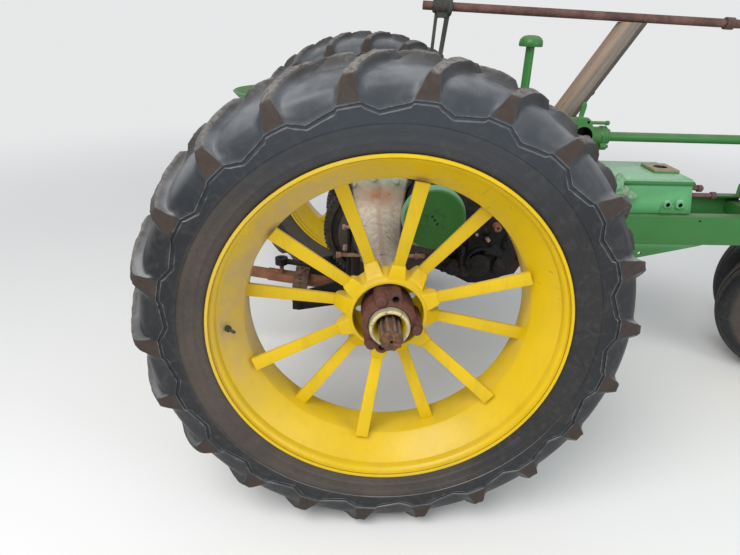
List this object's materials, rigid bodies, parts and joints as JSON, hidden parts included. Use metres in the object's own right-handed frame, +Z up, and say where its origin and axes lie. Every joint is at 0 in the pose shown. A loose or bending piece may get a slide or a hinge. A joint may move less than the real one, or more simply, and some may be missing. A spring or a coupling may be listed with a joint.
{
  "type": "small row-crop tractor, partly taken apart",
  "caption": "Small 1930s-style narrow-front farm tractor with tall spoked rear wheels, partly dismantled, standing on its wheels.",
  "frame": {"origin": "on the ground below the middle of the whole length", "axes": "+X forward, +Y to the tractor's left, +Z up"},
  "size_m": [3.1325, 1.966, 1.518],
  "materials": {
    "yellow_paint": "gloss paint, dusty and scratched",
    "green_paint": "semi-gloss paint",
    "block_paint": "semi-gloss paint over rough casting",
    "greasy_iron": "dark, greasy casting",
    "worn_casting": "worn pale paint with rust streaks",
    "maroon_casting": "dull maroon-brown rust",
    "rusty_steel": "rusted steel",
    "weathered_wood": "weathered, split",
    "tyre_rubber": "rubber, glossy and dusty"
  },
  "bodies": {
    "chassis": {"main_case": "greasy_iron", "case_cover": "green_paint", "axle_housing_right": "worn_casting", "axle_housing_left": "worn_casting", "brake_covers": "green_paint", "bearing_housing": "greasy_iron", "cylinder_block": "block_paint", "head_studs": "rusty_steel", "governor_housing": "green_paint", "fan_tube": "green_paint", "breather": "green_paint", "frame_rails": "green_paint", "rail_plates": "green_paint", "front_support": "green_paint", "radiator_core": "greasy_iron", "radiator_tanks": "green_paint", "steering_support": "green_paint", "wood_prop": "weathered_wood", "drawbar": "rusty_steel", "drawbar_quadrant": "rusty_steel", "drawbar_hanger": "greasy_iron", "seat": "green_paint", "seat_spring": "rusty_steel"},
    "right_drive": {"axle_shaft_right": "rusty_steel", "bull_gear_right": "greasy_iron", "hub_clamp_right": "maroon_casting", "rear_hub_right": "yellow_paint", "rear_rim_right": "yellow_paint", "rear_tyre_right": "tyre_rubber"},
    "left_drive": {"axle_shaft_left": "rusty_steel", "bull_gear_left": "greasy_iron", "hub_clamp_left": "maroon_casting", "rear_hub_left": "yellow_paint", "rear_rim_left": "yellow_paint", "rear_tyre_left": "tyre_rubber"},
    "crank": {"crankshaft": "rusty_steel", "flywheel": "greasy_iron"},
    "cooling_fan": {"fan": "greasy_iron"},
    "steering": {"steering_shaft": "rusty_steel"},
    "front_post": {"front_yoke": "green_paint"},
    "front_wheel_right": {"front_rim_right": "yellow_paint", "front_tyre_right": "tyre_rubber"},
    "front_wheel_left": {"front_rim_left": "yellow_paint", "front_tyre_left": "tyre_rubber"}
  },
  "joints": [
    {"name": "right_wheel_spin", "type": "hinge", "parent": "chassis", "child": "right_drive", "pos_m": [-0.76627, -0.828, 0.69], "axis": [0, 1, 0], "continuous": true},
    {"name": "left_wheel_spin", "type": "hinge", "parent": "chassis", "child": "left_drive", "pos_m": [-0.76627, 0.828, 0.69], "axis": [0, 1, 0], "continuous": true},
    {"name": "crank_spin", "type": "hinge", "parent": "chassis", "child": "crank", "pos_m": [-0.32027, 0, 0.742], "axis": [0, 1, 0], "continuous": true},
    {"name": "fan_spin", "type": "hinge", "parent": "chassis", "child": "cooling_fan", "pos_m": [0.83373, 0, 1.043], "axis": [1, 0, 0], "continuous": true},
    {"name": "steer", "type": "hinge", "parent": "chassis", "child": "front_post", "pos_m": [1.18373, 0, 0.69], "axis": [0, 0, 1], "range_deg": [-30, 90]},
    {"name": "steering_shaft_turn", "type": "hinge", "parent": "chassis", "child": "steering", "pos_m": [-0.55427, 0, 1.484], "axis": [0.9998, 0, -0.0219], "range_deg": [-300, 900]},
    {"name": "front_wheel_right_spin", "type": "hinge", "parent": "front_post", "child": "front_wheel_right", "pos_m": [1.10873, -0.1299, 0.33445], "axis": [0.4951, 0.8576, 0.1392], "continuous": true},
    {"name": "front_wheel_left_spin", "type": "hinge", "parent": "front_post", "child": "front_wheel_left", "pos_m": [1.25873, 0.1299, 0.33445], "axis": [0.4951, 0.8576, -0.1392], "continuous": true}
  ],
  "couplings": [
    {"joint": "steering_shaft_turn", "follows": "steer", "ratio": 10}
  ]
}
